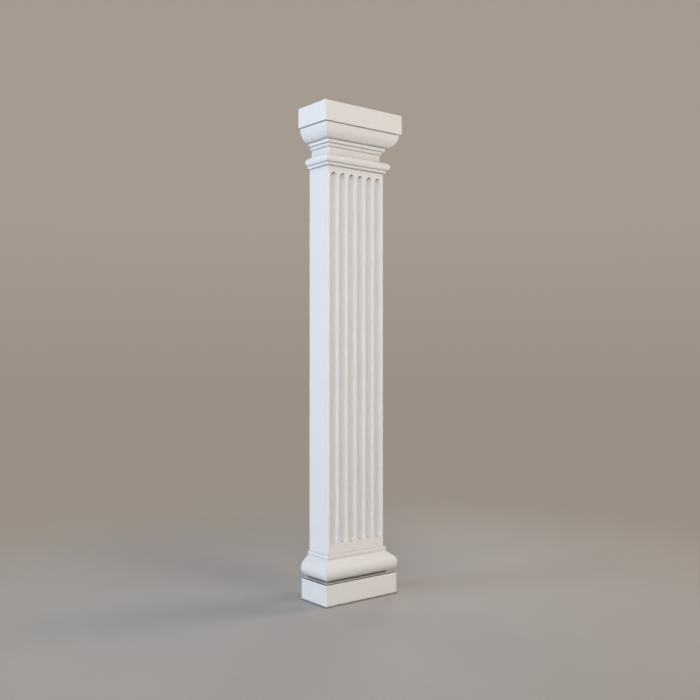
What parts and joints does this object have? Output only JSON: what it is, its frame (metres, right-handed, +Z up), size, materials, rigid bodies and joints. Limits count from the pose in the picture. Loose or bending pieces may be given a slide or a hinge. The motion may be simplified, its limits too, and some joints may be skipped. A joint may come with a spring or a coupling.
{
  "type": "fluted pilaster",
  "caption": "Square-cut white pilaster with a plain plinth, moulded base, shaft with stopped round-ended flutes on the front, and a moulded capital with a square abacus. Flat back.",
  "frame": {"origin": "on the floor, under the middle of the whole outline", "axes": "+Z up along the shaft, -Y out of the fluted front, +Y into the wall, +X to the right of someone who faces the front"},
  "size_m": [0.4806, 0.2206, 2.4],
  "materials": {
    "plinth": "matte",
    "base": "matte",
    "shaft": "matte",
    "capital": "matte"
  },
  "bodies": {
    "root": {"plinth": "plinth", "base": "base", "shaft": "shaft", "capital": "capital"}
  },
  "joints": []
}
